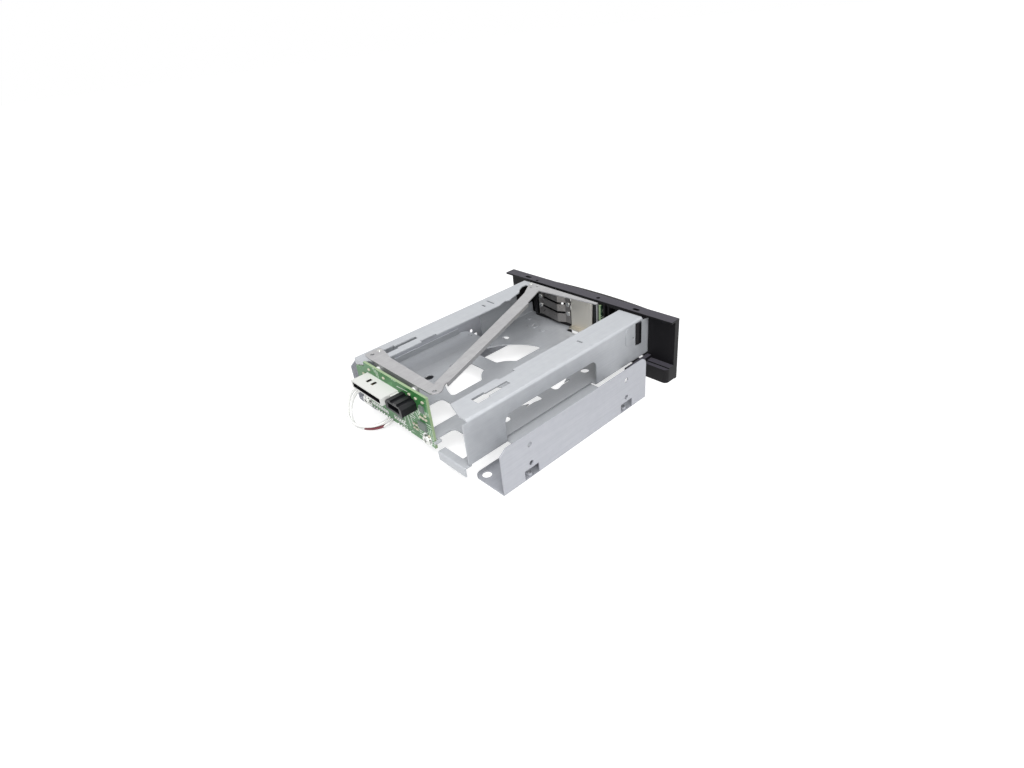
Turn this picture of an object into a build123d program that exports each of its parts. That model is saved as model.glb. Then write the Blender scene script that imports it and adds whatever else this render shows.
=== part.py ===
from build123d import *
import math
import os

os.makedirs("parts", exist_ok=True)

# Hot swap drive cage for a wide bay, in millimetres, +Z up, +Y to the rear.
# Everything is drawn with Y = 0 at the rear edge of the bezel's rim and moved
# on export so that the bottom screw holes' centre is the origin.

# Bay width, screw pattern and sheet
BRACKET_OUT = 73.0
SHEET = 0.8
BEND = 1.6
HOLE_PITCH = 79.25
FIRST_HOLE = 42.2
HOLE_YS = (FIRST_HOLE, FIRST_HOLE + HOLE_PITCH)
ORIGIN_Y = -(FIRST_HOLE + HOLE_PITCH / 2)
SCREW_R = 1.5

# Tray section and ends
CAGE_HALF = 53.9
CAGE_BOTTOM = 13.0
CAGE_TOP = 41.0
FLOOR_TOP = CAGE_BOTTOM + SHEET
FLANGE_UNDER = CAGE_TOP - SHEET
CAGE_IN = CAGE_HALF - SHEET
FLANGE_IN = 35.5
TRAY_FRONT = -5.0
TRAY_REAR = 147.2
FLANGE_FRONT = 1.5
WALL_FRONT_TOP = 38.6
LEFT_WALL_REAR = 144.4
OUTSIDE = 60.0
CUT = 3.0

# Top flange outlines, drawn on the left side (+X)
FLANGE_REAR_CUT = ((30, 140.4), (35.5, 140.4), (47.5, 144.3), (60, 144.3), (60, 160), (30, 160))
FLANGE_LEFT_FRONT = ((30, 42), (35.5, 42), (37.7, 34.8), (36.4, 31.5), (38.5, 25.2), (40.2, 18.7),
                     (43.6, 15.2), (46.0, 10.3), (46.2, 6.6), (39.6, 6.6), (39.6, 0), (30, 0))
FLANGE_NOTCH_Y = (96.0, 108.0)
FLANGE_NOTCH_IN = 37.5
KEY_X = 43.5
KEY_WIDE_Y = (122.0, 130.5)
KEY_WIDE = 6.0
KEY_NARROW_Y = (106.5, 123.0)
KEY_NARROW = 3.4
TOP_SLOT = (44.0, 49.2)
TOP_SLOT_SIZE = (4.0, 1.4)
TOP_LONG_SLOT = (44.7, 42.5)
TOP_LONG_SLOT_SIZE = (8.0, 1.2)

# Wall windows and side wings
WINDOW_Y = (46.2, 120.2)
WINDOW_TOP = 30.7
WINDOW_R = 5.0
WING_IN = 49.0
WING_OUT = BRACKET_OUT - SHEET
WING_Y = (47.4, 119.0)
WING_Z = (12.2, 13.0)
WING_R = 5.0
WING_LIP_Y = (54.0, 112.5)
WING_LIP_TOP = 17.0
WING_HOLES = ((64.5, 50.6), (61.6, 50.2))
WING_HOLE_R = 0.5

# Slot and pad at the front of each wall
WALL_SLOT_Y = (3.0, 8.7)
WALL_SLOT_Z = (23.5, 39.2)
PAD_Y = (9.6, 18.6)
PAD_Z = (26.5, 38.6)
PAD_OUT = 0.25
PAD_EDGE = 0.8
PAD_DOT = (11.0, 30.5)
PAD_DOT_R = 0.6

# Floor cut-outs
FAN = (0.0, 72.0)
FAN_HUB_R = 16.2
FAN_R = 39.7
FAN_WEB_X = 6.5
FAN_WEB_Y = (66.7, 77.6)
FAN_CORNER = 2.2
MID_CUT = ((-11, 117, 3), (10, 117, 3), (10, 140.6, 2), (-11, 140.6, 2))
REAR_CUT = ((-21, 131.5, 3), (-46.5, 131.5, 3), (-46.5, 147.4, 1), (-24.8, 147.4, 1), (-24.8, 142.6, 1),
            (-21, 142.6, 1))
LOOSE_HOLES = ((37.3, 38.5, 2.75), (-37.3, 38.5, 2.75), (37.0, 107.0, 3.2), (-37.0, 107.0, 3.2))
SLITS = ((37.2, 57.0), (-37.2, 57.0), (37.2, 85.5), (-37.2, 85.5))
SLIT_SIZE = (1.2, 8.5)
DIMPLES = ((34.8, 12.6, 4.5, 1.4), (-34.8, 12.6, 4.5, 1.4), (23.7, 14.4, 2.2, 0.0), (46.0, 6.6, 1.8, 0.0))
DIMPLE_H = 0.4
DIMPLE_HOLLOW = 0.6
NOTCH_X = (-24.0, 10.5)
NOTCH_DEPTH_Y = 4.5
NOTCH_R = 1.5
LIP_X = (-53.9, -31.0)
LIP_Y = 150.5
LIP_Z = 8.2
BOARD_ZONE_X = (-22.7, 60.0)
FLOOR_REAR = 144.0
SCREW_TABS = ((-20.4, -9.0), (44.0, 52.0))
SCREW_TAB_Z = 8.9
BOARD_TAB_X = (42.6, 52.6)
BOARD_TAB_LOW = (39.5, 36.8)
BOARD_TAB_FRONT = 142.0
BOARD_NOTCH_GAP = 0.4

# Brackets
FOOT_WIDTH = 25.5
BRACKET_IN = BRACKET_OUT - FOOT_WIDTH
BRACKET_Y = (23.5, 141.5)
BRACKET_TOP = 28.75
BRACKET_CHAMFER = (137.0, 25.5)
BRACKET_FRONT_R = 4.0
FOOT_R = 5.0
FOOT_HOLES = ((BRACKET_IN + 5.5, 136.4), (BRACKET_IN + 5.5, 28.6))
FOOT_HOLE_R = 2.75
SIDE_HOLE_Z = (10.0, 21.84)
BOTTOM_HOLE_X = BRACKET_OUT - 3.15
COLLAR_R = 2.2
COLLAR_TOP = 2.4
NICK_HALF = 5.2
NICK_Z = (0.9, 7.0)
NICK_IN = BRACKET_OUT - 2.0

# Brace
BRACE_Z = (CAGE_TOP, CAGE_TOP + SHEET)
BRACE_BAR = ((49.8, 129.6, 1), (49.8, 140.8, 2), (43, 141.8), (-20.5, 141.8, 3), (-23.2, 136.5, 3),
             (-18.6, 131), (-13.0, 131), (-13.4, 134.4), (33, 132.8), (41.5, 130.6))
BRACE_BAND = ((-12.7, 133.4), (27.3, 35.6), (34.7, 18.9), (44.8, 3.6, 1), (44.8, 2.4), (31.6, 2.4), (31.6, 4.4),
              (21.7, 27.4), (-18.6, 131), (-18.6, 133.4))
BRACE_STRIP = ((33, 2.4), (33, 10.4), (28.1, 9.8), (-18.8, 4.4, 0.6), (-18.8, 2.4, 0.6))
BRACE_HOLES = ((45.5, 137.7, 1.25), (-19.6, 138.6, 1.25), (38.2, 9.2, 0.7), (35.2, 5.6, 0.7))
BRACE_RIVETS = ((46.2, 132.2), (42.4, 4.6))
BRACE_RIVET_R = 0.9
BRACE_RIVET_HOLE_R = 0.92
BRACE_RIVET_HEAD = (1.5, 0.15)
BAR_FLANGE_X = (-8.0, 37.0)
BAR_FLANGE_Z = 33.2
BAND_LIP_START = (-17.7, 128.8)
BAND_LIP_END = (21.0, 29.3)
BAND_LIP_UNDER = 39.2
BAND_GROOVE_IN = 1.3
BAND_GROOVE = (0.5, 0.35)

# Circuit board and what stands on it
BOARD_X = (-22.0, 53.0)
BOARD_Y = (144.8, 146.4)
BOARD_Z = (8.4, 41.8)
BOARD_SCREWS = ((-15.8, 12.2), (48.6, 12.2))
BOARD_HOLE_R = 1.6
BOARD_SCREW_R = 1.45
BOARD_SCREW_HEAD = (3.2, 1.9)
BOARD_SCREW_TIP = 141.6
CROSS_RECESS = (3.2, 0.7, 1.1)
SPACERS = ((-4.0, 37.6), (33.0, 37.6))
SPACER_R = 2.0
SPACER_CORE_R = 1.1
POWER_X = (6.5, 39.0)
POWER_REAR = 158.0
POWER_Z = (31.0, 35.8)
POWER_WALL = 1.4
POWER_BACK = 148.4
POWER_SLOTS = ((24.4, 151.2), (29.6, 151.2))
POWER_SLOT_SIZE = (2.4, 3.4)
POWER_EAR = (1.4, 152.0)
TONGUE_X = (9.8, 35.0)
TONGUE_Y = (148.4, 156.8)
TONGUE_Z = (33.0, 34.0)
TONGUE_KEY = (33.8, 35.0, 31.9)
CONTACT = (0.8, 0.12)
CONTACT_PITCH = 1.6
POWER_CONTACTS = 15
DATA_X = (-11.0, 5.0)
DATA_REAR = 156.4
DATA_Z = (30.0, 36.0)
DATA_CHAMFER = 1.6
DATA_MOUTH_X = (-8.8, 2.4)
DATA_MOUTH_Z = (31.3, 34.9)
DATA_MOUTH_Y = 149.2
DATA_RIDGES = (-7.2, -1.0)
DATA_RIDGE = (3.0, 1.0)
DATA_TONGUE_X = (-7.6, 1.2)
DATA_TONGUE_Z = (32.8, 33.8)
DATA_TONGUE_REAR = DATA_REAR - 1.4
DATA_CONTACTS = 7
DATA_PITCH = 1.27
RECEPT_X = (-2.0, 41.0)
RECEPT_Y = (BOARD_Y[0] - 4.2, BOARD_Y[0])
RECEPT_Z = (15.2, 21.2)
RECEPT_MOUTHS = ((0.0, 12.4), (14.4, 39.0))
RECEPT_MOUTH_Z = (17.0, 19.6)
RECEPT_DEPTH = BOARD_Y[0] - 1.2
RECEPT_DATA_X = 1.9
RECEPT_POWER_X = 16.4
RECEPT_PITCH = 1.27
PIN_POWER_X = (20.0, 43.2)
PIN_DATA_X = (0.8, 13.0)
PIN_POWER = 9
PIN_DATA = 5
PIN_Z = 10.4
PIN_R = 0.55
PIN_LENGTH = 1.2
CHIPS = ((-14.0, 20.5, 7.0, 5.0, 1.3), (-16.4, 33.0, 4.0, 4.0, 1.0), (10.0, 18.0, 5.0, 4.4, 1.2))
PASSIVES = ((-18.4, 26.4), (-15.8, 26.4), (-13.2, 26.4), (-18.4, 29.0), (-7.0, 15.0), (-7.0, 18.0),
            (-4.2, 15.0), (-4.2, 18.0), (-18.4, 15.4), (-18.4, 38.0), (-12.0, 38.0), (-6.0, 38.4),
            (20.0, 38.8), (36.0, 38.8), (44.5, 33.0), (44.5, 29.0), (20.0, 25.4), (22.6, 25.4),
            (39.2, 25.4), (41.8, 25.4))
PASSIVE = (1.8, 0.7, 1.0)

# Light cable
HEADER_X = (32.0, 37.4)
HEADER_Y = (BOARD_Y[1], 152.8)
HEADER_Z = (22.8, 29.0)
HEADER_MOUTH_X = (35.6, 40.0)
HEADER_MOUTH_Y = (148.0, 152.2)
HEADER_MOUTH_Z = (23.5, 28.2)
FRONT_HEADER_X = (43.8, 50.2)
FRONT_HEADER_Y = (-5.3, -0.4)
FRONT_HEADER_Z = (7.7, 12.9)
FRONT_MOUTH_X = (45.0, 49.2)
FRONT_MOUTH_Y = (-3.9, 2.0)
FRONT_MOUTH_Z = (8.4, 12.6)
WIRE_R = 0.95
STRAND_SHIFT = (0.8, 1.2, 2.0)
CABLE_ROUTE = ((36.4, 149.6, 24.8), (46.0, 150.6, 23.6), (53.6, 153.6, 15.6), (55.4, 157.2, 6.0),
               (49.6, 160.2, 1.7), (39.6, 159.8, 1.5), (31.0, 154.6, 1.9), (26.0, 146.6, 3.6),
               (29.0, 137.4, 6.6), (38.6, 129.4, 9.0), (44.6, 119.4, 9.4), (47.2, 98.0, 9.5),
               (45.6, 62.0, 9.3), (47.0, 30.0, 9.6), (46.0, 6.0, 9.4), (46.5, -3.2, 9.5))
ROUTE_EASE = 0.45

# Bezel
BEZEL_HALF = BRACKET_OUT + 1.25
BEZEL_TOP = 42.2
BEZEL_FRONT = -8.5
BEZEL_FACE_REAR = -6.0
RIM_UNDER = 41.0
OPENING_X = 51.8
OPENING_Z = (13.4, 41.0)
RIM_SLOTS = ((53.0, -3.2, 5.6, 2.6), (-45.5, -3.0, 5.0, 2.4))
RIM_HOLES = ((42.6, -1.9, 1.1), (-14.0, -3.2, 1.3))
SHELF_Z = (11.4, 12.8)
SHELF_REAR = -5.3
BLOCK_IN = 54.6
BLOCK_GROOVE_Z = (10.0, 10.9)
BLOCK_REAR = -3.8
BLOCK_TOP_LEFT = 25.0
LEDGE_REAR = 0.6
SIDE_ARM_X = (54.3, 57.4)
SIDE_ARM_REAR = 20.0
SIDE_ARM_Z = (8.4, 12.9)
LOWER_IN = 56.0
LOWER_REAR = 3.4
LOWER_R = 3.0
GROOVE_IN = 1.2
ARM_X = (51.9, 53.0)
ARM_Y = (-6.5, 10.5)
ARM_Z = (22.4, 39.6)
ARM_NOSE_Y = (3.3, 8.4)
ARM_NOSE_Z = (24.0, 38.8)
ARM_NOSE_OUT = 54.5
LOUVRES = (-48.0, -36.0, -24.0, -12.0, 0.0, 12.0, 24.0, 36.0, 48.0)
LOUVRE_SIZE = (9.0, 4.4)
LOUVRE_Z = 6.2
LOUVRE_R = 1.2

# Door
HINGE = (49.0, -6.5)
BARREL_R = 2.5
PIN_STEEL_R = 1.0
PIN_BORE_R = 1.05
PIN_SEAT_R = 1.02
PIN_TOP_Z = (36.4, 41.9)
PIN_LOW_Z = (11.8, 18.4)
DOOR_RIGHT = -51.2
DOOR_LEFT = 46.6
DOOR_Z = (14.3, 40.5)
DOOR_REAR = -1.2
DOOR_FRONT = -13.0
DOOR_FRONT_SIDE = -10.6
DOOR_WALL = 1.6
DOOR_EDGE_R = 1.4
BARREL_REACH = 44.0
DOOR_VENTS = (-14.0, -6.0, 2.0, 10.0, 18.0, 26.0)
DOOR_VENT = (5.0, 14.0)
DOOR_VENT_Z = 27.0
POCKET_X = (-50.9, -25.0)
POCKET_REAR = -7.0
POCKET_Z = (17.4, 37.4)
LEVER_AXIS = (-44.0, -9.2)
LEVER_X = (-49.6, -25.8)
LEVER_Y = (-13.4, -10.6)
LEVER_Z = (17.8, 37.0)
LEVER_HUB_R = 2.0
LEVER_GRIP_X = -29.5
LEVER_GRIP_Y = -11.9
NOSE_TIP = -52.6
NOSE_STEM_X = (-50.4, -48.8)
NOSE_STEM_Y = (-11.0, -3.9)
NOSE_HOOK_Y = (-5.4, -3.9)
NOSE_Z = (18.2, 21.6)
NOSE_WINDOW_X = -46.6
NOSE_WINDOW_Y = (-9.8, -1.5)
NOSE_WINDOW_Z = (17.9, 21.9)
LATCH_PIN_Z = (15.0, 39.8)
COIL_Z = (32.0, 35.4)
COIL_R = 1.75
COIL_WIRE = 0.28
COIL_CLEAR = 0.5

# Things on the back of the door
SPRING_X = (9.6, 41.0)
SPRING_Z = (17.0, 39.0)
SPRING_SLOTS_Z = (24.4, 31.4)
SPRING_SLOT = 1.6
SPRING_SLOT_X = (14.4, 36.4)
SPRING_T = 0.4
SPRING_FOLD_X = 20.0
SPRING_PEAK = 1.6
SPRING_BASE = -1.0
SPRING_POST_X = (11.8, 38.9)
POST_Z = SPRING_SLOTS_Z
POST_R = 1.6
PLATE_X = (-12.0, 8.8)
PLATE_Z = (15.2, 39.4)
PLATE_Y = (-1.2, -0.4)
PLATE_FOOT_Y = 3.6
PLATE_SIDE_X = -11.2
STRIP_BLACK_X = (-14.4, -12.4)
STRIP_STEEL_X = (-16.0, -15.0)
STRIP_Y = (-3.0, 0.4)
STRIP_Z = (16.0, 38.8)
DOOR_BOARD_X = (-18.8, -17.2)
DOOR_BOARD_Y = (-8.2, 0.2)
DOOR_SHADE_X = (-22.2, -21.0)
DOOR_BOARD_Z = (19.0, 38.8)
LED_POSITIONS = ((-3.0, 24.0), (-3.0, 29.0), (-3.0, 34.0))
LED_SIZE = (1.6, 1.6, 2.4)
RIVET_R = 1.0
RIVET_HEAD = (1.7, 0.5)
RIVET_TAIL = 0.9


def box(x, y, z):
    size = [pair[1] - pair[0] for pair in (x, y, z)]
    centre = [(pair[0] + pair[1]) / 2 for pair in (x, y, z)]
    return Pos(*centre) * Box(*size)


def outline(*points):
    face = Polygon(*[point[:2] for point in points], align=None)
    for point in points:
        if len(point) > 2:
            corner = face.vertices().sort_by_distance(Vector(point[0], point[1]))[0]
            face = fillet(corner, point[2])
    return face


def along_x(sketch, x):
    return extrude(Plane.YZ.offset(x[0]) * sketch, x[1] - x[0], dir=(1, 0, 0))


def along_y(sketch, y):
    return extrude(Plane.XZ.offset(-y[0]) * sketch, y[1] - y[0], dir=(0, 1, 0))


def along_z(sketch, z):
    return extrude(Plane.XY.offset(z[0]) * sketch, z[1] - z[0], dir=(0, 0, 1))


def rod_x(y, z, x, radius):
    return Pos((x[0] + x[1]) / 2, y, z) * Rot(0, 90, 0) * Cylinder(radius, x[1] - x[0])


def rod_y(x, z, y, radius):
    return Pos(x, (y[0] + y[1]) / 2, z) * Rot(90, 0, 0) * Cylinder(radius, y[1] - y[0])


def rod_z(x, y, z, radius):
    return Pos(x, y, (z[0] + z[1]) / 2) * Cylinder(radius, z[1] - z[0])


def both(shape):
    return [shape, mirror(shape, Plane.YZ)]


def around(centre, size):
    return (centre - size / 2, centre + size / 2)


def group(solids):
    return Part() + solids


# Tray

def tray_shell():
    height = CAGE_TOP - CAGE_BOTTOM
    middle = Pos(0, (CAGE_TOP + CAGE_BOTTOM) / 2)
    section = middle * RectangleRounded(2 * CAGE_HALF, height, BEND)
    section -= middle * RectangleRounded(2 * CAGE_IN, height - 2 * SHEET, BEND - SHEET)
    section -= Pos(0, CAGE_TOP) * Rectangle(2 * FLANGE_IN, 2 * BEND)
    return along_y(section, (TRAY_FRONT, TRAY_REAR))


def flange_cuts():
    top = (FLANGE_UNDER - SHEET, CAGE_TOP + CUT)
    rear = along_z(outline(*FLANGE_REAR_CUT), top)
    notch = box((FLANGE_IN - CUT, FLANGE_NOTCH_IN), FLANGE_NOTCH_Y, top)
    wide = box(around(KEY_X, KEY_WIDE), KEY_WIDE_Y, top)
    narrow = box(around(KEY_X, KEY_NARROW), KEY_NARROW_Y, top)
    slot = box(around(TOP_SLOT[0], TOP_SLOT_SIZE[0]), around(TOP_SLOT[1], TOP_SLOT_SIZE[1]), top)
    cuts = [box((-OUTSIDE, OUTSIDE), (TRAY_FRONT - CUT, FLANGE_FRONT), (WALL_FRONT_TOP, CAGE_TOP + CUT))]
    for cutter in (rear, notch, wide, narrow, slot):
        cuts += both(cutter)
    cuts.append(along_z(outline(*FLANGE_LEFT_FRONT), top))
    long_x = around(TOP_LONG_SLOT[0], TOP_LONG_SLOT_SIZE[0])
    cuts.append(box(long_x, around(TOP_LONG_SLOT[1], TOP_LONG_SLOT_SIZE[1]), top))
    left_rear = (LEFT_WALL_REAR, TRAY_REAR + CUT)
    cuts.append(box((CAGE_IN - BEND, OUTSIDE), left_rear, (CAGE_BOTTOM - CUT, CAGE_TOP + CUT)))
    return cuts


def wall_cuts():
    wall = (CAGE_IN - CUT, CAGE_HALF + CUT)
    low = CAGE_BOTTOM - CUT
    window = outline((WINDOW_Y[0], low), (WINDOW_Y[0], WINDOW_TOP, WINDOW_R),
                     (WINDOW_Y[1], WINDOW_TOP, WINDOW_R), (WINDOW_Y[1], low))
    cuts = both(along_x(window, (CAGE_IN - SHEET, CAGE_HALF + CUT)))
    cuts += both(box((WING_IN + SHEET, OUTSIDE), WINDOW_Y, (low, CAGE_BOTTOM + BEND)))
    cuts += both(box(wall, WALL_SLOT_Y, WALL_SLOT_Z))
    cuts += [rod_z(x, y, (FLANGE_UNDER - CUT, CAGE_TOP + CUT), BRACE_RIVET_HOLE_R) for x, y in BRACE_RIVETS]
    return cuts


def fan_sector(side_x, side_y):
    ring = Circle(FAN_R) - Circle(FAN_HUB_R)
    inner_y = abs(FAN_WEB_Y[side_y > 0] - FAN[1])
    corner = Pos(side_x * FAN_WEB_X, side_y * inner_y)
    quarter = corner * Rectangle(FAN_R, FAN_R, align=(Align.MIN if side_x > 0 else Align.MAX,
                                                    Align.MIN if side_y > 0 else Align.MAX))
    sector = ring & quarter
    sector = fillet(sector.vertices(), FAN_CORNER)
    return Pos(FAN[0], FAN[1]) * sector


def floor_cuts():
    floor = (CAGE_BOTTOM - CUT, FLOOR_TOP + BEND)
    sheets = [fan_sector(side_x, side_y) for side_x in (-1, 1) for side_y in (-1, 1)]
    sheets += [outline(*MID_CUT), outline(*REAR_CUT)]
    sheets += [Pos(x, y) * Circle(radius) for x, y, radius in LOOSE_HOLES]
    sheets += [Pos(x, y) * Rectangle(*SLIT_SIZE) for x, y in SLITS]
    front = outline((NOTCH_X[0], TRAY_FRONT - CUT), (NOTCH_X[1], TRAY_FRONT - CUT),
                    (NOTCH_X[1], NOTCH_DEPTH_Y, NOTCH_R), (NOTCH_X[0], NOTCH_DEPTH_Y, NOTCH_R))
    cuts = [along_z(sheet, floor) for sheet in sheets + [front]]
    cuts.append(box(BOARD_ZONE_X, (FLOOR_REAR, TRAY_REAR + CUT), floor))
    return cuts


def tray_wing():
    flat = outline((WING_IN, WING_Y[0]), (WING_OUT, WING_Y[0], WING_R), (WING_OUT, WING_Y[1], WING_R),
                   (WING_IN, WING_Y[1]))
    for x, y in WING_HOLES:
        flat -= Pos(x, y) * Circle(WING_HOLE_R)
    wing = along_z(flat, WING_Z)
    wing += box((WING_IN, WING_IN + SHEET), WING_Y, (WING_Z[0], FLOOR_TOP))
    wing += box((WING_OUT - SHEET, WING_OUT), WING_LIP_Y, (WING_Z[0], WING_LIP_TOP))
    return wing


def wall_pad():
    pad = outline((PAD_Y[0], PAD_Z[0], CUT), (PAD_Y[1], PAD_Z[0], CUT), (PAD_Y[1], PAD_Z[1], CUT),
                  (PAD_Y[0], PAD_Z[1], CUT))
    return along_x(pad, (CAGE_IN, CAGE_HALF + PAD_OUT))


def wall_pad_hollow():
    front, rear = PAD_Y[0] + PAD_EDGE, PAD_Y[1] - PAD_EDGE
    low, high = PAD_Z[0] + PAD_EDGE, PAD_Z[1] - PAD_EDGE
    pad = outline((front, low, BEND), (rear, low, BEND), (rear, high, BEND), (front, high, BEND))
    hollow = along_x(pad, (CAGE_IN - SHEET, CAGE_IN + PAD_OUT))
    return hollow + rod_x(*PAD_DOT, (CAGE_IN - SHEET, CAGE_HALF + CUT), PAD_DOT_R)


def tray_rear():
    lip = box(LIP_X, (TRAY_REAR - BEND, LIP_Y), (CAGE_BOTTOM, FLOOR_TOP))
    lip += box(LIP_X, (LIP_Y - SHEET, LIP_Y), (LIP_Z, FLOOR_TOP))
    edge = lip.edges().filter_by(Axis.X).group_by(Axis.Z)[-1].sort_by(Axis.Y)[-1]
    lip = fillet(edge, SHEET)
    for low, high in SCREW_TABS:
        tab = box((low, high), (FLOOR_REAR - SHEET, FLOOR_REAR + SHEET), (CAGE_BOTTOM, FLOOR_TOP))
        tab += box((low, high), (FLOOR_REAR, FLOOR_REAR + SHEET), (SCREW_TAB_Z, FLOOR_TOP))
        lip += tab
    return lip + board_tab()


def board_tab():
    rear = BOARD_Y[1]
    flat = box(BOARD_TAB_X, (BOARD_TAB_FRONT, rear), (FLANGE_UNDER, CAGE_TOP))
    flat = fillet(flat.edges().filter_by(Axis.X).group_by(Axis.Z)[-1].sort_by(Axis.Y)[-1], SHEET * 0.9)
    face = outline((BOARD_TAB_X[0], FLANGE_UNDER + SHEET / 4), (BOARD_TAB_X[0], BOARD_TAB_LOW[0]),
                   (BOARD_TAB_X[1], BOARD_TAB_LOW[1]), (BOARD_TAB_X[1], FLANGE_UNDER + SHEET / 4))
    return flat + along_y(face, (rear - SHEET, rear))


def tray_dimples(body):
    for x, y, radius, hole in DIMPLES:
        body += rod_z(x, y, (FLOOR_TOP - SHEET / 2, FLOOR_TOP + DIMPLE_H), radius)
        body -= rod_z(x, y, (CAGE_BOTTOM - CUT, CAGE_BOTTOM + DIMPLE_H), radius - DIMPLE_HOLLOW)
        if hole:
            body -= rod_z(x, y, (CAGE_BOTTOM - CUT, FLOOR_TOP + CUT), hole)
    return body


def make_tray():
    body = tray_shell()
    body -= flange_cuts() + wall_cuts() + floor_cuts()
    corner_x = (BOARD_X[1] - CUT, OUTSIDE)
    body -= box(corner_x, (FLOOR_REAR, TRAY_REAR + CUT), (CAGE_BOTTOM - CUT, CAGE_BOTTOM + BEND))
    body += both(tray_wing()) + both(wall_pad())
    body -= both(wall_pad_hollow())
    body += tray_rear()
    for x, z in BOARD_SCREWS:
        body -= rod_y(x, z, (FLOOR_REAR - CUT, FLOOR_REAR + CUT), SCREW_R)
    x, y, radius = BRACE_HOLES[0]
    body -= rod_z(x, y, (FLANGE_UNDER - CUT, CAGE_TOP + CUT), radius)
    return tray_dimples(body)


# Brackets

def make_bracket():
    section = outline((BRACKET_IN, 0), (BRACKET_OUT, 0, BEND), (BRACKET_OUT, BRACKET_TOP),
                      (BRACKET_OUT - SHEET, BRACKET_TOP), (BRACKET_OUT - SHEET, SHEET, BEND - SHEET),
                      (BRACKET_IN, SHEET))
    body = along_y(section, BRACKET_Y)
    side = outline((BRACKET_Y[0], -CUT), (BRACKET_Y[1], -CUT), (BRACKET_Y[1], BRACKET_CHAMFER[1]),
                   (BRACKET_CHAMFER[0], BRACKET_TOP), (BRACKET_Y[0], BRACKET_TOP, BRACKET_FRONT_R))
    plan = outline((BRACKET_IN, BRACKET_Y[0], FOOT_R), (BRACKET_OUT + CUT, BRACKET_Y[0]),
                   (BRACKET_OUT + CUT, BRACKET_Y[1]), (BRACKET_IN, BRACKET_Y[1], FOOT_R))
    body = body & along_x(side, (0, BRACKET_OUT + CUT)) & along_z(plan, (-CUT, BRACKET_TOP + CUT))
    for y in HOLE_YS:
        body -= box((NICK_IN, BRACKET_OUT + CUT), (y - NICK_HALF, y + NICK_HALF), NICK_Z)
        body += rod_z(BOTTOM_HOLE_X, y, (0, COLLAR_TOP), COLLAR_R)
        body -= rod_z(BOTTOM_HOLE_X, y, (-CUT, COLLAR_TOP + CUT), SCREW_R)
        for z in SIDE_HOLE_Z:
            body -= rod_x(y, z, (NICK_IN, BRACKET_OUT + CUT), SCREW_R)
    for x, y in FOOT_HOLES:
        body -= rod_z(x, y, (-CUT, CUT), FOOT_HOLE_R)
    return body


# Brace

def make_brace():
    sheet = outline(*BRACE_BAR) + outline(*BRACE_BAND) + outline(*BRACE_STRIP)
    for x, y, radius in BRACE_HOLES:
        sheet -= Pos(x, y) * Circle(radius)
    for x, y in BRACE_RIVETS:
        sheet -= Pos(x, y) * Circle(BRACE_RIVET_HOLE_R)
    body = along_z(sheet, BRACE_Z)
    rear = BRACE_BAR[2][1]
    body += box(BAR_FLANGE_X, (rear - SHEET, rear), (BAR_FLANGE_Z, BRACE_Z[1]))
    start = Vector(*BAND_LIP_START)
    way = Vector(*BAND_LIP_END) - start
    angle = way.get_signed_angle(Vector(1, 0), Vector(0, 0, 1))
    edge = Pos(start.X, start.Y) * Rot(0, 0, -angle)
    from_edge = (Align.MIN, Align.MAX)
    body += along_z(edge * Rectangle(way.length, SHEET, align=from_edge), (BAND_LIP_UNDER, BRACE_Z[1]))
    width, depth = BAND_GROOVE
    groove = edge * Pos(0, -BAND_GROOVE_IN) * Rectangle(way.length, width, align=from_edge)
    return body - along_z(groove, (BRACE_Z[1] - depth, BRACE_Z[1] + CUT))


def make_brace_rivets():
    rivets = []
    for x, y in BRACE_RIVETS:
        rivet = rod_z(x, y, (FLANGE_UNDER, BRACE_Z[1] + SHEET / 2), BRACE_RIVET_R)
        head = rod_z(x, y, (BRACE_Z[1], BRACE_Z[1] + BRACE_RIVET_HEAD[1]), BRACE_RIVET_HEAD[0])
        edge = head.edges().filter_by(GeomType.CIRCLE).sort_by(Axis.Z)[-1]
        rivets.append(rivet + fillet(edge, BRACE_RIVET_HEAD[1] / 2))
    return group(rivets)


# Board and connectors

def make_board():
    body = box(BOARD_X, BOARD_Y, BOARD_Z)
    notch = outline((BOARD_TAB_X[0] - BOARD_NOTCH_GAP, BOARD_Z[1] + CUT),
                    (BOARD_TAB_X[0] - BOARD_NOTCH_GAP, BOARD_TAB_LOW[0] - BOARD_NOTCH_GAP),
                    (OUTSIDE, BOARD_TAB_LOW[1] - CUT), (OUTSIDE, BOARD_Z[1] + CUT))
    body -= along_y(notch, (BOARD_Y[0] - CUT, BOARD_Y[1] + CUT))
    for x, z in BOARD_SCREWS:
        body -= rod_y(x, z, (BOARD_Y[0] - CUT, BOARD_Y[1] + CUT), BOARD_HOLE_R)
    return body


def make_board_screws():
    screws = []
    length, width, depth = CROSS_RECESS
    for x, z in BOARD_SCREWS:
        screw = rod_y(x, z, (BOARD_SCREW_TIP, BOARD_Y[1] + SHEET), BOARD_SCREW_R)
        head = rod_y(x, z, (BOARD_Y[1], BOARD_Y[1] + BOARD_SCREW_HEAD[1]), BOARD_SCREW_HEAD[0])
        edge = head.edges().filter_by(GeomType.CIRCLE).sort_by(Axis.Y)[-1]
        screw += fillet(edge, BOARD_SCREW_HEAD[1] / 2)
        rear = BOARD_Y[1] + BOARD_SCREW_HEAD[1]
        screw -= box(around(x, length), (rear - depth, rear + CUT), around(z, width))
        screw -= box(around(x, width), (rear - depth, rear + CUT), around(z, length))
        screws.append(screw)
    return group(screws)


def make_spacers():
    rear = BRACE_BAR[2][1]
    solids = []
    for x, z in SPACERS:
        ring = rod_y(x, z, (rear, BOARD_Y[0]), SPACER_R)
        solids.append(ring - rod_y(x, z, (rear - CUT, BOARD_Y[0] + CUT), SPACER_CORE_R))
    return group(solids)


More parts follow.
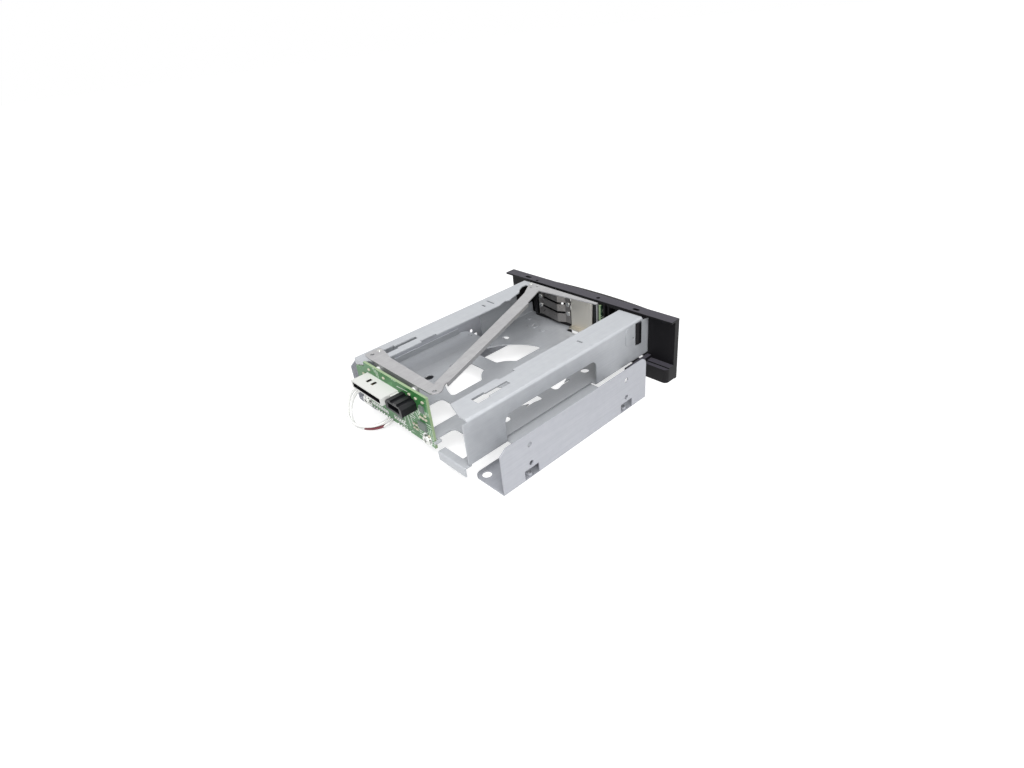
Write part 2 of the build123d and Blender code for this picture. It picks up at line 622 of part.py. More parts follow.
def make_power_socket():
    body = box(POWER_X, (BOARD_Y[1], POWER_REAR), POWER_Z)
    ear, ear_rear = POWER_EAR
    ear_x = (POWER_X[0] - ear, POWER_X[1] + ear)
    body += box(ear_x, (BOARD_Y[1], ear_rear), around(sum(POWER_Z) / 2, 2 * ear))
    mouth_x = (POWER_X[0] + POWER_WALL, POWER_X[1] - POWER_WALL)
    mouth_z = (POWER_Z[0] + POWER_WALL / 2, POWER_Z[1] - POWER_WALL / 2)
    body -= box(mouth_x, (POWER_BACK, POWER_REAR + CUT), mouth_z)
    roof = (mouth_z[1] - BEND / 2, POWER_Z[1] + CUT)
    for x, y in POWER_SLOTS:
        body -= box(around(x, POWER_SLOT_SIZE[0]), around(y, POWER_SLOT_SIZE[1]), roof)
    return body


def make_power_tongue():
    body = box(TONGUE_X, TONGUE_Y, TONGUE_Z)
    return body + box(TONGUE_KEY[:2], TONGUE_Y, (TONGUE_KEY[2], TONGUE_Z[1]))


def contact_row(first_x, count, pitch, y, z):
    return [box(around(first_x + step * pitch, CONTACT[0]), y, z) for step in range(count)]


def make_power_contacts():
    span = CONTACT_PITCH * (POWER_CONTACTS - 1)
    first = sum(TONGUE_X) / 2 - span / 2 - SHEET / 2
    z = (TONGUE_Z[1], TONGUE_Z[1] + CONTACT[1])
    return group(contact_row(first, POWER_CONTACTS, CONTACT_PITCH, (TONGUE_Y[0], TONGUE_Y[1] - SHEET), z))


def make_data_socket():
    profile = Pos(sum(DATA_X) / 2, sum(DATA_Z) / 2) * Rectangle(DATA_X[1] - DATA_X[0], DATA_Z[1] - DATA_Z[0])
    profile = chamfer(profile.vertices().group_by(Axis.Y)[-1], DATA_CHAMFER)
    body = along_y(profile, (BOARD_Y[1], DATA_REAR))
    ridge_z = (DATA_Z[1] - SHEET, DATA_Z[1] + DATA_RIDGE[1])
    for x in DATA_RIDGES:
        body += box((x, x + DATA_RIDGE[0]), (BOARD_Y[1], DATA_REAR), ridge_z)
    body -= box(DATA_MOUTH_X, (DATA_MOUTH_Y, DATA_REAR + CUT), DATA_MOUTH_Z)
    return body + box(DATA_TONGUE_X, (DATA_MOUTH_Y - SHEET, DATA_TONGUE_REAR), DATA_TONGUE_Z)


def make_data_contacts():
    first = sum(DATA_TONGUE_X) / 2 - DATA_PITCH * (DATA_CONTACTS - 1) / 2
    z = (DATA_TONGUE_Z[1], DATA_TONGUE_Z[1] + CONTACT[1])
    return group(contact_row(first, DATA_CONTACTS, DATA_PITCH, (DATA_MOUTH_Y, DATA_TONGUE_REAR - SHEET), z))


def make_receptacle():
    body = box(RECEPT_X, RECEPT_Y, RECEPT_Z)
    for mouth_x in RECEPT_MOUTHS:
        body -= box(mouth_x, (RECEPT_Y[0] - CUT, RECEPT_DEPTH), RECEPT_MOUTH_Z)
    return body


def make_receptacle_contacts():
    solids = []
    z = (RECEPT_MOUTH_Z[1] - CONTACT[1], RECEPT_MOUTH_Z[1])
    for first, count in ((RECEPT_DATA_X, DATA_CONTACTS), (RECEPT_POWER_X, POWER_CONTACTS)):
        solids += contact_row(first, count, RECEPT_PITCH, (RECEPT_Y[0] + SHEET, RECEPT_DEPTH), z)
    return group(solids)


def make_solder_pins():
    solids = []
    for (low, high), count in ((PIN_POWER_X, PIN_POWER), (PIN_DATA_X, PIN_DATA)):
        pitch = (high - low) / (count - 1)
        for step in range(count):
            x = low + step * pitch
            pin = rod_y(x, PIN_Z, (BOARD_Y[1], BOARD_Y[1] + PIN_LENGTH), PIN_R)
            edge = pin.edges().filter_by(GeomType.CIRCLE).sort_by(Axis.Y)[-1]
            solids.append(fillet(edge, PIN_R / 2))
    return group(solids)


def make_chips():
    return group([box(around(x, width), (BOARD_Y[1], BOARD_Y[1] + thick), around(z, height))
                  for x, z, width, height, thick in CHIPS])


def make_passives():
    solids = [box(around(x, PASSIVE[0]), (BOARD_Y[1], BOARD_Y[1] + PASSIVE[1]), around(z, PASSIVE[2]))
              for x, z in PASSIVES]
    return group(solids)


def make_wire_header():
    return box(HEADER_X, HEADER_Y, HEADER_Z) - box(HEADER_MOUTH_X, HEADER_MOUTH_Y, HEADER_MOUTH_Z)


def make_front_header():
    body = box(FRONT_HEADER_X, FRONT_HEADER_Y, FRONT_HEADER_Z)
    return body - box(FRONT_MOUTH_X, FRONT_MOUTH_Y, FRONT_MOUTH_Z)


def bend_radii(points):
    radii = []
    for before, corner, after in zip(points, points[1:], points[2:]):
        arriving, leaving = corner - before, after - corner
        half_turn = arriving.get_angle(leaving) / 2
        radii.append(ROUTE_EASE * min(arriving.length, leaving.length) / math.tan(math.radians(half_turn)))
    return radii


def make_strand(shift):
    points = [Vector(*point) + Vector(*shift) for point in CABLE_ROUTE]
    path = FilletPolyline(*points, radius=bend_radii(points))
    return sweep(Plane(path @ 0, z_dir=path % 0) * Circle(WIRE_R), path=path)


# Bezel

def bezel_block(top):
    inside = BEZEL_FACE_REAR - SHEET
    x = (BLOCK_IN, BEZEL_HALF)
    body = box(x, (inside, BLOCK_REAR), (BLOCK_GROOVE_Z[1], top))
    body += box(x, (inside, LEDGE_REAR), BLOCK_GROOVE_Z)
    low_plan = outline((LOWER_IN, inside), (BEZEL_HALF, inside), (BEZEL_HALF, LOWER_REAR, LOWER_R),
                       (LOWER_IN, LOWER_REAR, 1))
    lower = along_z(low_plan, (0, BLOCK_GROOVE_Z[0]))
    lower = fillet(lower.edges().group_by(Axis.Z)[0].sort_by(Axis.Y)[-1], SHEET)
    arm = box(SIDE_ARM_X, (inside, SIDE_ARM_REAR), SIDE_ARM_Z)
    arm = chamfer(arm.edges().filter_by(Axis.X).group_by(Axis.Y)[-1].sort_by(Axis.Z)[0], 2 * GROOVE_IN)
    return body + lower + arm


def bezel_arm():
    arm = box(ARM_X, ARM_Y, ARM_Z)
    front, rear = ARM_NOSE_Y
    nose = outline((ARM_X[1], front), (ARM_NOSE_OUT, front), (ARM_NOSE_OUT, (front + rear) / 2),
                   (ARM_X[1], rear))
    return arm + along_z(nose, ARM_NOSE_Z)


def make_bezel():
    face = (BEZEL_FRONT, BEZEL_FACE_REAR)
    body = box((-BEZEL_HALF, BEZEL_HALF), face, (0, BEZEL_TOP))
    body += box((-BEZEL_HALF, BEZEL_HALF), (BEZEL_FRONT, 0), (RIM_UNDER, BEZEL_TOP))
    front_edges = body.edges().group_by(Axis.Y)[0]
    body = fillet(front_edges, SHEET)
    body -= box((-OPENING_X, OPENING_X), (BEZEL_FRONT - CUT, BEZEL_FACE_REAR + CUT), OPENING_Z)
    body += box((-OPENING_X, OPENING_X), (BEZEL_FRONT + SHEET, SHELF_REAR), SHELF_Z)
    body += mirror(bezel_block(RIM_UNDER), Plane.YZ)
    body += bezel_block(BLOCK_TOP_LEFT)
    body += both(bezel_arm())
    rim = (RIM_UNDER - CUT, BEZEL_TOP + CUT)
    for x, y, length, width in RIM_SLOTS:
        body -= along_z(Pos(x, y) * SlotOverall(length, width), rim)
    for x, y, radius in RIM_HOLES:
        body -= rod_z(x, y, rim, radius)
    louvre = RectangleRounded(*LOUVRE_SIZE, LOUVRE_R)
    for x in LOUVRES:
        body -= along_y(Pos(x, LOUVRE_Z) * louvre, (BEZEL_FRONT - CUT, BEZEL_FACE_REAR + CUT))
    body -= rod_z(*HINGE, (RIM_UNDER - CUT, PIN_TOP_Z[1]), PIN_SEAT_R)
    body -= rod_z(*HINGE, (PIN_LOW_Z[0], SHELF_Z[1] + CUT), PIN_SEAT_R)
    return body


def make_hinge_pins():
    return group([rod_z(*HINGE, PIN_TOP_Z, PIN_STEEL_R), rod_z(*HINGE, PIN_LOW_Z, PIN_STEEL_R)])


# Door

def make_door():
    middle = (DOOR_RIGHT + DOOR_LEFT) / 2
    hinge_front = HINGE[1] - BARREL_R
    back = Polyline((DOOR_LEFT, DOOR_REAR), (DOOR_RIGHT, DOOR_REAR), (DOOR_RIGHT, DOOR_FRONT_SIDE))
    bow = ThreePointArc((DOOR_RIGHT, DOOR_FRONT_SIDE), (middle, DOOR_FRONT), (DOOR_LEFT, hinge_front))
    side = Line((DOOR_LEFT, hinge_front), (DOOR_LEFT, DOOR_REAR))
    body = along_z(make_face(back + bow + side), DOOR_Z)
    body = fillet(body.edges().filter_by(Axis.Z).group_by(Axis.X)[0].sort_by(Axis.Y)[0], DOOR_EDGE_R)
    hollow_z = (DOOR_Z[0] + DOOR_WALL, DOOR_Z[1] - DOOR_WALL)
    hollow_x = (POCKET_X[1] + DOOR_WALL, DOOR_LEFT - 2 * DOOR_WALL)
    body -= box(hollow_x, (DOOR_FRONT_SIDE + DOOR_WALL + SHEET, DOOR_REAR + CUT), hollow_z)
    body -= box((DOOR_RIGHT + DOOR_WALL, POCKET_X[1]), (POCKET_REAR + DOOR_WALL, DOOR_REAR + CUT), hollow_z)
    body -= box(POCKET_X, (DOOR_FRONT - CUT, POCKET_REAR), POCKET_Z)
    body -= box((DOOR_RIGHT - CUT, NOSE_WINDOW_X), NOSE_WINDOW_Y, NOSE_WINDOW_Z)
    vent = RectangleRounded(*DOOR_VENT, LOUVRE_R)
    for x in DOOR_VENTS:
        body -= along_y(Pos(x, DOOR_VENT_Z) * vent, (DOOR_FRONT - CUT, DOOR_REAR))
    edge_x = (DOOR_LEFT - DOOR_WALL / 2, DOOR_LEFT + CUT)
    body -= box(edge_x, (DOOR_FRONT - CUT, DOOR_REAR + CUT), (0, BEZEL_TOP + CUT))
    barrel = rod_z(*HINGE, DOOR_Z, BARREL_R)
    web = box((BARREL_REACH, HINGE[0]), (HINGE[1] - BARREL_R, HINGE[1] + SHEET), DOOR_Z)
    body += barrel + web
    body -= rod_z(*HINGE, (DOOR_Z[0] - CUT, DOOR_Z[1] + CUT), PIN_BORE_R)
    for x in SPRING_POST_X:
        for z in POST_Z:
            body += rod_y(x, z, (DOOR_FRONT_SIDE + DOOR_WALL, SPRING_BASE), POST_R)
            body -= rod_y(x, z, (SPRING_BASE - CUT, SPRING_BASE + CUT), PIN_SEAT_R)
    body += door_ribs()
    body -= rod_z(*LEVER_AXIS, LATCH_PIN_Z, PIN_SEAT_R)
    return body


def door_ribs():
    reach = (DOOR_FRONT_SIDE + DOOR_WALL, PLATE_Y[0])
    z = (DOOR_Z[0] + SHEET, DOOR_Z[1] - SHEET)
    plate_rib = box(around(PLATE_X[0] + DOOR_WALL, DOOR_WALL), reach, z)
    plate_rib += box(around(PLATE_X[1] - DOOR_WALL, DOOR_WALL), reach, z)
    strip_y = (DOOR_FRONT_SIDE + DOOR_WALL, STRIP_Y[0])
    strips = box((STRIP_STEEL_X[0], STRIP_BLACK_X[1]), strip_y, z)
    board = box((DOOR_BOARD_X[1], STRIP_STEEL_X[0]), strip_y, z)
    shade = box(DOOR_SHADE_X, (DOOR_FRONT_SIDE + DOOR_WALL, DOOR_BOARD_Y[1]), z)
    return plate_rib + strips + board + shade


def make_lever():
    face = outline((LEVER_X[0], LEVER_Y[1]), (LEVER_X[0], LEVER_Y[0], 1), (LEVER_GRIP_X, LEVER_Y[0], 1),
                   (LEVER_X[1], LEVER_GRIP_Y, 1), (LEVER_X[1], LEVER_Y[1]))
    body = along_z(face, LEVER_Z)
    hub = rod_z(*LEVER_AXIS, LEVER_Z, LEVER_HUB_R)
    hub -= rod_z(*LEVER_AXIS, (COIL_Z[0] - COIL_CLEAR, COIL_Z[1] + COIL_CLEAR), LEVER_HUB_R + CUT)
    body += hub
    body += box(NOSE_STEM_X, NOSE_STEM_Y, NOSE_Z)
    body += box((NOSE_TIP, NOSE_STEM_X[1]), NOSE_HOOK_Y, NOSE_Z)
    coil_room = LEVER_HUB_R + COIL_CLEAR
    body -= rod_z(*LEVER_AXIS, (COIL_Z[0] - COIL_CLEAR, COIL_Z[1] + COIL_CLEAR), coil_room)
    return body - rod_z(*LEVER_AXIS, (LEVER_Z[0] - CUT, LEVER_Z[1] + CUT), PIN_BORE_R)


def make_latch_pin():
    return rod_z(*LEVER_AXIS, LATCH_PIN_Z, PIN_STEEL_R)


def make_latch_spring():
    turns = 4
    pitch = (COIL_Z[1] - COIL_Z[0] - 2 * COIL_WIRE) / turns
    path = Pos(*LEVER_AXIS, COIL_Z[0] + COIL_WIRE) * Helix(pitch, pitch * turns, COIL_R)
    section = Plane(path @ 0, z_dir=path % 0) * Circle(COIL_WIRE)
    coil = sweep(section, path=path, is_frenet=True)
    end = path @ 1
    leg = rod_y(end.X - COIL_WIRE, end.Z, (end.Y, POCKET_REAR), COIL_WIRE)
    return coil + leg


# Pieces on the back of the door

def make_door_spring():
    fold = SPRING_FOLD_X
    base = SPRING_BASE
    peak = SPRING_PEAK
    top = Polyline((SPRING_X[0], base), (SPRING_SLOT_X[0], base), (fold, peak), (SPRING_SLOT_X[1], base),
                   (SPRING_X[1], base))
    line = offset(top, SPRING_T, side=Side.LEFT, closed=True)
    body = along_z(make_face(line), SPRING_Z)
    for z in SPRING_SLOTS_Z:
        body -= box(SPRING_SLOT_X, (base - CUT, peak + CUT), around(z, SPRING_SLOT))
    for x in SPRING_POST_X:
        for z in POST_Z:
            body -= rod_y(x, z, (base - CUT, base + CUT), PIN_SEAT_R)
    return body


def make_door_rivets():
    solids = []
    for x in SPRING_POST_X:
        for z in POST_Z:
            rivet = rod_y(x, z, (SPRING_BASE - RIVET_TAIL, SPRING_BASE + SPRING_T + SHEET / 2), RIVET_R)
            rear = SPRING_BASE + SPRING_T
            head = rod_y(x, z, (rear, rear + RIVET_HEAD[1]), RIVET_HEAD[0])
            edge = head.edges().filter_by(GeomType.CIRCLE).sort_by(Axis.Y)[-1]
            solids.append(rivet + fillet(edge, RIVET_HEAD[1] / 2))
    return group(solids)


def make_door_plate():
    body = box(PLATE_X, PLATE_Y, PLATE_Z)
    foot = outline((PLATE_X[0], PLATE_Y[0]), (PLATE_X[1], PLATE_Y[0]), (PLATE_X[1], PLATE_FOOT_Y, BEND),
                   (PLATE_X[0], PLATE_FOOT_Y, BEND))
    body += along_z(foot, (PLATE_Z[0], PLATE_Z[0] + SHEET))
    low, high = PLATE_Z
    side = outline((PLATE_Y[0], low), (PLATE_FOOT_Y - BEND, low), (PLATE_Y[1] + SHEET, high),
                   (PLATE_Y[0], high))
    return body + along_x(side, (PLATE_X[0], PLATE_SIDE_X))


def make_leds():
    depth, height = LED_SIZE[1], LED_SIZE[2]
    x = (DOOR_BOARD_X[0] - LED_SIZE[0], DOOR_BOARD_X[0])
    return group([box(x, around(y, depth), around(z, height)) for y, z in LED_POSITIONS])


PARTS = {
    "cage_tray": make_tray(),
    "bracket_left": make_bracket(),
    "bracket_right": mirror(make_bracket(), Plane.YZ),
    "top_brace": make_brace(),
    "brace_rivets": make_brace_rivets(),
    "backplane_board": make_board(),
    "board_screws": make_board_screws(),
    "board_spacers": make_spacers(),
    "power_socket": make_power_socket(),
    "power_socket_tongue": make_power_tongue(),
    "power_contacts": make_power_contacts(),
    "data_socket": make_data_socket(),
    "data_contacts": make_data_contacts(),
    "drive_receptacle": make_receptacle(),
    "receptacle_contacts": make_receptacle_contacts(),
    "solder_pins": make_solder_pins(),
    "board_chips": make_chips(),
    "board_passives": make_passives(),
    "wire_header": make_wire_header(),
    "front_header": make_front_header(),
    "led_cable_inner": make_strand((0, 0, 0)),
    "led_cable_outer": make_strand(STRAND_SHIFT),
    "front_bezel": make_bezel(),
    "hinge_pins": make_hinge_pins(),
    "drive_door": make_door(),
    "door_spring": make_door_spring(),
    "door_rivets": make_door_rivets(),
    "door_plate": make_door_plate(),
    "door_strip_black": box(STRIP_BLACK_X, STRIP_Y, STRIP_Z),
    "door_strip_steel": box(STRIP_STEEL_X, STRIP_Y, STRIP_Z),
    "door_board": box(DOOR_BOARD_X, DOOR_BOARD_Y, DOOR_BOARD_Z),
    "door_leds": make_leds(),
    "latch_lever": make_lever(),
    "latch_pin": make_latch_pin(),
    "latch_spring": make_latch_spring(),
}

for strand, shift in (("led_cable_inner", (0, 0, 0)), ("led_cable_outer", STRAND_SHIFT)):
    points = [Vector(*point) + Vector(*shift) for point in CABLE_ROUTE]
    length = FilletPolyline(*points, radius=bend_radii(points)).length
    swept, tube = PARTS[strand].volume, math.pi * WIRE_R ** 2 * length
    print(strand, "radii", [round(radius, 1) for radius in bend_radii(points)], "length", round(length, 1))
    print(strand, "volume", round(swept, 1), "section times length", round(tube, 1))

for node, shape in PARTS.items():
    export_step(Pos(0, ORIGIN_Y, 0) * shape, f"parts/{node}.step")
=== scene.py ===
# %% [markdown]
# # A hot swap drive cage
# The object is a bent sheet tray that takes one removable drive, held between two
# angle brackets, with a circuit board at its rear and a black door in front.
# The solids come from the CAD model. This lesson lights them, gives each the finish
# of the real material, and adds the small things that the solids leave out.

# %% Load the frame
import math

import bpy
from mathutils import Matrix, Vector


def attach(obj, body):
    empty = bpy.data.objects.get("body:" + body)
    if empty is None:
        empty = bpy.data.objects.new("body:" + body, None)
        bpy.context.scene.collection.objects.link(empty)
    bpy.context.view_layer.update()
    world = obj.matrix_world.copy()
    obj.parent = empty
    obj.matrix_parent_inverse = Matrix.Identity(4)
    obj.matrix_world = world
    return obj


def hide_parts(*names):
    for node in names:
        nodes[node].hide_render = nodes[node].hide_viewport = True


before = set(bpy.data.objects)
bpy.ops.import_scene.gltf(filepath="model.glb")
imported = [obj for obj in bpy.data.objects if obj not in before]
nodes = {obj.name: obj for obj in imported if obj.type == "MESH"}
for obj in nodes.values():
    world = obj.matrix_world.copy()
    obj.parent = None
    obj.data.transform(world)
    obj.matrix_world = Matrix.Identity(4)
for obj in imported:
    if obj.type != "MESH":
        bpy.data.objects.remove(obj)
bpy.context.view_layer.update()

# %% [markdown]
# ## The camera
# The photograph looks down on the cage from behind and from its right, with a wide
# lens. Turning the camera first about the upright axis, then tipping it, and then
# rolling it keeps each of the three angles readable.

# %% The camera
CAMERA_PLACE = (-0.25715, 0.19850, 0.20870)
CAMERA_TURN = 230.49
CAMERA_TIP = 58.42
CAMERA_ROLL = -6.57
CAMERA_LENS = 20.98
SENSOR_WIDTH = 36.0
CLIP_NEAR = 0.01
CLIP_FAR = 50.0

camera_data = bpy.data.cameras.new("camera")
camera_data.sensor_fit = "HORIZONTAL"
camera_data.sensor_width = SENSOR_WIDTH
camera_data.lens = CAMERA_LENS
camera_data.clip_start = CLIP_NEAR
camera_data.clip_end = CLIP_FAR
camera = bpy.data.objects.new("camera", camera_data)
bpy.context.scene.collection.objects.link(camera)
turn = Matrix.Rotation(math.radians(CAMERA_TURN), 4, "Z")
tip = Matrix.Rotation(math.radians(CAMERA_TIP), 4, "X")
roll = Matrix.Rotation(math.radians(CAMERA_ROLL), 4, "Z")
camera.matrix_world = Matrix.Translation(CAMERA_PLACE) @ turn @ tip @ roll
bpy.context.scene.camera = camera
print("camera lens in mm:", CAMERA_LENS)

# %% [markdown]
# ## The light cable
# Two white strands leave the header under the white socket, hang in a loop behind
# the board and run back under the tray to the bezel. A NURBS curve through the
# route's points gives one smooth line, as a limp wire has. The wire's radius sits on
# the points and the curve's own bevel is 1, so the curve's box is the wire's own.

# %% The light cable
STRAND_RADIUS = 0.00095
STRAND_SHIFT = Vector((0.0008, 0.0012, 0.0020))
BEHIND_HOLES = Vector((0.0, -0.081825, 0.0))  # the route is measured from the bezel's rear
STEPS_ALONG = 8
STEPS_ROUND = 4
CURVE_ORDER = 3
ROUNDED_SHARE = 0.975  # the smooth line cuts the route's corners
CABLE_ROUTE = (
    (0.0364, 0.1496, 0.0248), (0.0460, 0.1506, 0.0236), (0.0536, 0.1536, 0.0156),
    (0.0554, 0.1572, 0.0060), (0.0496, 0.1602, 0.0017), (0.0396, 0.1598, 0.0015),
    (0.0310, 0.1546, 0.0019), (0.0260, 0.1466, 0.0036), (0.0290, 0.1374, 0.0066),
    (0.0386, 0.1294, 0.0090), (0.0446, 0.1194, 0.0094), (0.0472, 0.0980, 0.0095),
    (0.0456, 0.0620, 0.0093), (0.0470, 0.0300, 0.0096), (0.0460, 0.0060, 0.0094),
    (0.0465, -0.0032, 0.0095),
)


def lay_strand(name, shift, radius):
    points = [Vector(point) + BEHIND_HOLES + shift for point in CABLE_ROUTE]
    curve = bpy.data.curves.new(name, "CURVE")
    curve.dimensions = "3D"
    curve.resolution_u = STEPS_ALONG
    curve.bevel_depth = 1.0
    curve.bevel_resolution = STEPS_ROUND
    curve.use_fill_caps = True
    spline = curve.splines.new("NURBS")
    spline.points.add(len(points) - 1)
    for knot, place in zip(spline.points, points):
        knot.co = (*place, 1.0)
        knot.radius = radius
    spline.order_u = CURVE_ORDER
    spline.use_endpoint_u = True
    strand = bpy.data.objects.new(name, curve)
    bpy.context.scene.collection.objects.link(strand)
    return strand, points


def strand_length(points):
    runs = sum((after - before).length for before, after in zip(points, points[1:]))
    return runs * ROUNDED_SHARE


cable_strands = []
for strand_name, shift, node in (
    ("cable_strand_inner", Vector((0, 0, 0)), "led_cable_inner"),
    ("cable_strand_outer", STRAND_SHIFT, "led_cable_outer"),
):
    strand, route = lay_strand(strand_name, shift, STRAND_RADIUS)
    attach(strand, "cage")
    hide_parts(node)
    cable_strands.append(strand)
print("strand length in mm:", round(strand_length(route) * 1000, 1))

# %% [markdown]
# ## Colours and the one node helper
# Colours are written as the hex values that a picture shows, so one function turns
# them to the linear values that the shader works in. One small function adds a node,
# sets it and links it, so each material below reads as a list of its layers. The
# box test at the end marks one recess or one stretch of a piece for another colour.


# %% Colours and the one node helper
def linear(hex_colour):
    channels = []
    for start in (1, 3, 5):
        value = int(hex_colour[start:start + 2], 16) / 255
        channels.append(value / 12.92 if value <= 0.04045 else ((value + 0.055) / 1.055) ** 2.4)
    return (*channels, 1.0)


def add(tree, kind, inputs=None, **settings):
    made = tree.nodes.new(kind)
    for name, value in settings.items():
        setattr(made, name, value)
    for name, value in (inputs or {}).items():
        if isinstance(value, tuple) and isinstance(value[0], bpy.types.Node):
            tree.links.new(value[0].outputs[value[1]], made.inputs[name])
        else:
            made.inputs[name].default_value = value
    return made


def new_material(name):
    material = bpy.data.materials.new(name)
    material.use_nodes = True
    tree = material.node_tree
    tree.nodes.clear()
    return material, tree


def finish_material(tree, shader):
    add(tree, "ShaderNodeOutputMaterial", {"Surface": (shader, "BSDF")})


def inside_box(tree, place, low, high):
    middle = (Vector(low) + Vector(high)) / 2
    half = (Vector(high) - Vector(low)) / 2
    away = add(tree, "ShaderNodeVectorMath", {0: (place, "Object"), 1: middle}, operation="SUBTRACT")
    away = add(tree, "ShaderNodeVectorMath", {0: (away, "Vector")}, operation="ABSOLUTE")
    past = add(tree, "ShaderNodeVectorMath", {0: (away, "Vector"), 1: half}, operation="SUBTRACT")
    part = add(tree, "ShaderNodeSeparateXYZ", {"Vector": (past, "Vector")})
    most = add(tree, "ShaderNodeMath", {0: (part, "X"), 1: (part, "Y")}, operation="MAXIMUM")
    most = add(tree, "ShaderNodeMath", {0: (most, 0), 1: (part, "Z")}, operation="MAXIMUM")
    return add(tree, "ShaderNodeMath", {0: (most, 0), 1: 0.0}, operation="LESS_THAN")


# %% [markdown]
# ## Zinc-plated steel sheet
# The tray, brackets and brace are stamped from plated sheet: light grey, satin, with
# the faint streaks of the rolling mill along its length and a soft mottle of the
# zinc. Long thin noise gives the streaks, round noise the mottle, and a bevel node
# softens the sheared edges so that they catch the light as stamped edges do. Folds
# and recesses get painted shade: the occlusion node darkens the colour there.

# %% Zinc-plated steel sheet
EDGE_RADIUS = 0.00022
STREAK_WIDTH = 0.0006
STREAK_LENGTH = 0.030
MOTTLE_SIZE = 0.004
# reach and levels of the painted shade in folds and recesses
RECESS_REACH = 0.035
RECESS_SHADE = 0.62
RECESS_DEEP = 0.30
RECESS_OPEN = 0.85
MOTTLE_SHARE = 0.45
TONE_LOW = 0.36
TONE_HIGH = 0.64
SHEET_SWING = 0.05
STREAK_BUMP = 0.10
STREAK_DEPTH = 0.00006
NOISE_LOW = 0.3
NOISE_HIGH = 0.7


def zinc_sheet(name, light, dark, roughness, metallic):
    material, tree = new_material(name)
    place = add(tree, "ShaderNodeTexCoord")
    stretch = add(tree, "ShaderNodeMapping", {
        "Vector": (place, "Object"),
        "Scale": (1 / STREAK_WIDTH, 1 / STREAK_LENGTH, 1 / STREAK_WIDTH)})
    streaks = add(tree, "ShaderNodeTexNoise", {
        "Vector": (stretch, "Vector"), "Scale": 1.0, "Detail": 3.0, "Roughness": 0.6})
    mottle = add(tree, "ShaderNodeTexNoise", {
        "Vector": (place, "Object"), "Scale": 1 / MOTTLE_SIZE, "Detail": 4.0, "Roughness": 0.55})
    blend = add(tree, "ShaderNodeMix", {
        0: MOTTLE_SHARE, 2: (streaks, "Fac"), 3: (mottle, "Fac")}, data_type="FLOAT")
    colour = add(tree, "ShaderNodeValToRGB", {"Fac": (blend, 0)})
    colour.color_ramp.elements[0].position = TONE_LOW
    colour.color_ramp.elements[0].color = linear(dark)
    colour.color_ramp.elements[1].position = TONE_HIGH
    colour.color_ramp.elements[1].color = linear(light)
    # painted shade: the occlusion node darkens the sheet's colour in folds and recesses
    deep = add(tree, "ShaderNodeAmbientOcclusion", {
        "Distance": RECESS_REACH}, samples=8, only_local=True)
    shade = add(tree, "ShaderNodeMapRange", {
        "Value": (deep, "AO"), "From Min": RECESS_DEEP, "From Max": RECESS_OPEN,
        "To Min": RECESS_SHADE, "To Max": 1.0})
    colour = add(tree, "ShaderNodeVectorMath", {
        0: (colour, "Color"), 1: (shade, "Result")}, operation="MULTIPLY")
    rough = add(tree, "ShaderNodeMapRange", {
        "Value": (mottle, "Fac"), "From Min": NOISE_LOW, "From Max": NOISE_HIGH,
        "To Min": roughness - SHEET_SWING, "To Max": roughness + SHEET_SWING})
    edge = add(tree, "ShaderNodeBevel", {"Radius": EDGE_RADIUS}, samples=4)
    bump = add(tree, "ShaderNodeBump", {
        "Strength": STREAK_BUMP, "Distance": STREAK_DEPTH, "Height": (streaks, "Fac"),
        "Normal": (edge, "Normal")})
    shader = add(tree, "ShaderNodeBsdfPrincipled", {
        "Base Color": (colour, "Vector"), "Roughness": (rough, "Result"), "Metallic": metallic,
        "Normal": (bump, "Normal")})
    finish_material(tree, shader)
    return material


plated_tray = zinc_sheet("plated_steel_sheet_tray", "#BFC2C6", "#B5B8BD", 0.46, 0.35)
plated_bracket = zinc_sheet("plated_steel_sheet_bracket", "#B1B3B9", "#A7A9B0", 0.48, 0.35)
plated_brace = zinc_sheet("plated_steel_sheet_brace", "#B9B9BA", "#A7A6A8", 0.42, 0.55)
print("sheet finishes made")

# %% [markdown]
# ## Bright metals
# Screws and rivets have a bright zinc plate, the leaf spring is dark tempered steel,
# and the plate beside it is nickel-plated. They differ in colour and in how sharp
# the reflection is, so one function makes them from those two facts and a grain.


# %% Bright metals
METAL_EDGE = 0.0001
METAL_SWING = 0.06
METAL_DEPTH = 0.00005


def bright_metal(name, colour, roughness, grain, strength):
    material, tree = new_material(name)
    place = add(tree, "ShaderNodeTexCoord")
    noise = add(tree, "ShaderNodeTexNoise", {
        "Vector": (place, "Object"), "Scale": 1 / grain, "Detail": 3.0, "Roughness": 0.6})
    rough = add(tree, "ShaderNodeMapRange", {
        "Value": (noise, "Fac"), "From Min": NOISE_LOW, "From Max": NOISE_HIGH,
        "To Min": roughness - METAL_SWING, "To Max": roughness + METAL_SWING})
    edge = add(tree, "ShaderNodeBevel", {"Radius": METAL_EDGE}, samples=4)
    bump = add(tree, "ShaderNodeBump", {
        "Strength": strength, "Distance": METAL_DEPTH, "Height": (noise, "Fac"),
        "Normal": (edge, "Normal")})
    shader = add(tree, "ShaderNodeBsdfPrincipled", {
        "Base Color": linear(colour), "Metallic": 1.0, "Roughness": (rough, "Result"),
        "Normal": (bump, "Normal")})
    finish_material(tree, shader)
    return material


zinc_bright = bright_metal("bright_zinc_plated_steel", "#D2D3D0", 0.26, 0.0006, 0.1)
spring_dark = bright_metal("tempered_spring_steel", "#94908D", 0.32, 0.0020, 0.06)
nickel_sheet = bright_metal("nickel_plated_sheet", "#E8E3D8", 0.34, 0.0015, 0.08)
gold_flash = bright_metal("gold_flashed_contacts", "#DDB868", 0.28, 0.0005, 0.05)
tin_joint = bright_metal("tinned_solder", "#DADADA", 0.24, 0.0004, 0.2)
print("bright metals made")
